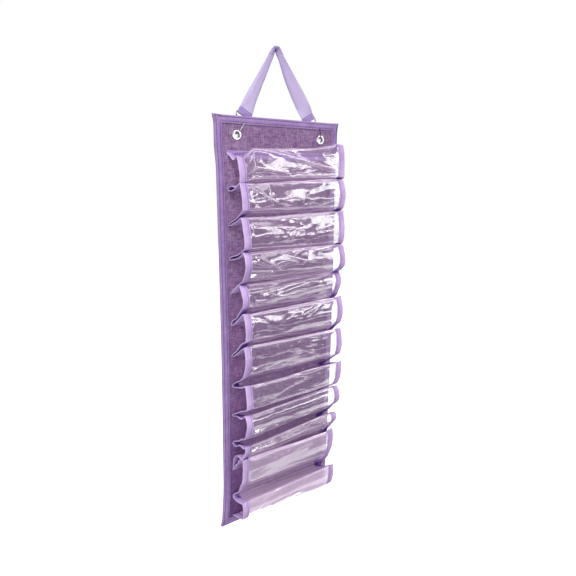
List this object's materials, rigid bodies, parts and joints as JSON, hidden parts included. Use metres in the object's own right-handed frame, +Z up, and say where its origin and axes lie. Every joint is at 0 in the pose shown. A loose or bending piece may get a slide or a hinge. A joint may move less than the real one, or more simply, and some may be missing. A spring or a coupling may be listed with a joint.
{
  "type": "hanging glasses organizer",
  "caption": "Tall stiffened linen panel with a column of clear film pockets open at both ends, hung from a webbing strap on wire hooks",
  "frame": {"origin": "on the wall side of the panel, in the middle of the bottom binding strip", "axes": "+Z up the panel, the pockets face -Y, +Y points to the wall, X runs across the panel"},
  "size_m": [0.25, 0.0828, 0.9011],
  "materials": {
    "linen_fabric": "heathered coarse linen weave",
    "lining_fabric": "plain lining",
    "stiffener": "plain board",
    "binding_tape": "woven binding tape with stitching",
    "webbing": "ribbed webbing",
    "clear_film": "clear glossy wrinkled film",
    "plated_steel": "bright plating"
  },
  "bodies": {
    "panel": {"back_fabric": "lining_fabric", "stiffener_board": "stiffener", "front_fabric": "linen_fabric", "edge_binding": "binding_tape", "eyelet_left": "plated_steel", "eyelet_right": "plated_steel", "pleat_00": "clear_film", "pleat_01": "clear_film", "pleat_02": "clear_film", "pleat_03": "clear_film", "pleat_04": "clear_film", "pleat_05": "clear_film", "pleat_06": "clear_film", "pleat_07": "clear_film", "pleat_08": "clear_film", "pleat_09": "clear_film", "pleat_10": "clear_film", "pleat_11": "clear_film", "pleat_12": "clear_film"},
    "pocket_01": {"pocket_01_window": "clear_film", "pocket_01_tape_left": "binding_tape", "pocket_01_tape_right": "binding_tape"},
    "pocket_02": {"pocket_02_window": "clear_film", "pocket_02_tape_left": "binding_tape", "pocket_02_tape_right": "binding_tape"},
    "pocket_03": {"pocket_03_window": "clear_film", "pocket_03_tape_left": "binding_tape", "pocket_03_tape_right": "binding_tape"},
    "pocket_04": {"pocket_04_window": "clear_film", "pocket_04_tape_left": "binding_tape", "pocket_04_tape_right": "binding_tape"},
    "pocket_05": {"pocket_05_window": "clear_film", "pocket_05_tape_left": "binding_tape", "pocket_05_tape_right": "binding_tape"},
    "pocket_06": {"pocket_06_window": "clear_film", "pocket_06_tape_left": "binding_tape", "pocket_06_tape_right": "binding_tape"},
    "pocket_07": {"pocket_07_window": "clear_film", "pocket_07_tape_left": "binding_tape", "pocket_07_tape_right": "binding_tape"},
    "pocket_08": {"pocket_08_window": "clear_film", "pocket_08_tape_left": "binding_tape", "pocket_08_tape_right": "binding_tape"},
    "pocket_09": {"pocket_09_window": "clear_film", "pocket_09_tape_left": "binding_tape", "pocket_09_tape_right": "binding_tape"},
    "pocket_10": {"pocket_10_window": "clear_film", "pocket_10_tape_left": "binding_tape", "pocket_10_tape_right": "binding_tape"},
    "pocket_11": {"pocket_11_window": "clear_film", "pocket_11_tape_left": "binding_tape", "pocket_11_tape_right": "binding_tape"},
    "pocket_12": {"pocket_12_window": "clear_film", "pocket_12_tape_left": "binding_tape", "pocket_12_tape_right": "binding_tape"},
    "handle": {"strap_hook_left": "plated_steel", "strap_hook_right": "plated_steel", "strap_hem_left": "webbing", "strap_hem_right": "webbing"},
    "strap": {"hanging_strap": "webbing"}
  },
  "joints": [
    {"name": "pocket_01_press", "type": "slide", "parent": "panel", "child": "pocket_01", "axis": [0, 0.9563, -0.2924], "range_m": [-0.006, 0.04], "stiffness_N_per_m": 15, "deforming": ["pleat_00", "pleat_01"]},
    {"name": "pocket_02_press", "type": "slide", "parent": "panel", "child": "pocket_02", "axis": [0, 0.9563, -0.2924], "range_m": [-0.006, 0.04], "stiffness_N_per_m": 15, "deforming": ["pleat_01", "pleat_02"]},
    {"name": "pocket_03_press", "type": "slide", "parent": "panel", "child": "pocket_03", "axis": [0, 0.9563, -0.2924], "range_m": [-0.006, 0.04], "stiffness_N_per_m": 15, "deforming": ["pleat_02", "pleat_03"]},
    {"name": "pocket_04_press", "type": "slide", "parent": "panel", "child": "pocket_04", "axis": [0, 0.9563, -0.2924], "range_m": [-0.006, 0.04], "stiffness_N_per_m": 15, "deforming": ["pleat_03", "pleat_04"]},
    {"name": "pocket_05_press", "type": "slide", "parent": "panel", "child": "pocket_05", "axis": [0, 0.9563, -0.2924], "range_m": [-0.006, 0.04], "stiffness_N_per_m": 15, "deforming": ["pleat_04", "pleat_05"]},
    {"name": "pocket_06_press", "type": "slide", "parent": "panel", "child": "pocket_06", "axis": [0, 0.9563, -0.2924], "range_m": [-0.006, 0.04], "stiffness_N_per_m": 15, "deforming": ["pleat_05", "pleat_06"]},
    {"name": "pocket_07_press", "type": "slide", "parent": "panel", "child": "pocket_07", "axis": [0, 0.9563, -0.2924], "range_m": [-0.006, 0.04], "stiffness_N_per_m": 15, "deforming": ["pleat_06", "pleat_07"]},
    {"name": "pocket_08_press", "type": "slide", "parent": "panel", "child": "pocket_08", "axis": [0, 0.9563, -0.2924], "range_m": [-0.006, 0.04], "stiffness_N_per_m": 15, "deforming": ["pleat_07", "pleat_08"]},
    {"name": "pocket_09_press", "type": "slide", "parent": "panel", "child": "pocket_09", "axis": [0, 0.9563, -0.2924], "range_m": [-0.006, 0.04], "stiffness_N_per_m": 15, "deforming": ["pleat_08", "pleat_09"]},
    {"name": "pocket_10_press", "type": "slide", "parent": "panel", "child": "pocket_10", "axis": [0, 0.9563, -0.2924], "range_m": [-0.006, 0.04], "stiffness_N_per_m": 15, "deforming": ["pleat_09", "pleat_10"]},
    {"name": "pocket_11_press", "type": "slide", "parent": "panel", "child": "pocket_11", "axis": [0, 0.9563, -0.2924], "range_m": [-0.006, 0.04], "stiffness_N_per_m": 15, "deforming": ["pleat_10", "pleat_11"]},
    {"name": "pocket_12_press", "type": "slide", "parent": "panel", "child": "pocket_12", "axis": [0, 0.9563, -0.2924], "range_m": [-0.006, 0.04], "stiffness_N_per_m": 15, "deforming": ["pleat_11", "pleat_12"]},
    {"name": "handle_swing", "type": "hinge", "parent": "panel", "child": "handle", "pos_m": [0, -0.0036, 0.7449], "axis": [1, 0, 0], "range_deg": [-10, 2]},
    {"name": "strap_fold", "type": "hinge", "parent": "handle", "child": "strap", "pos_m": [0, 0.0048, 0.7841], "axis": [1, 0, 0], "range_deg": [-95, 110]}
  ]
}
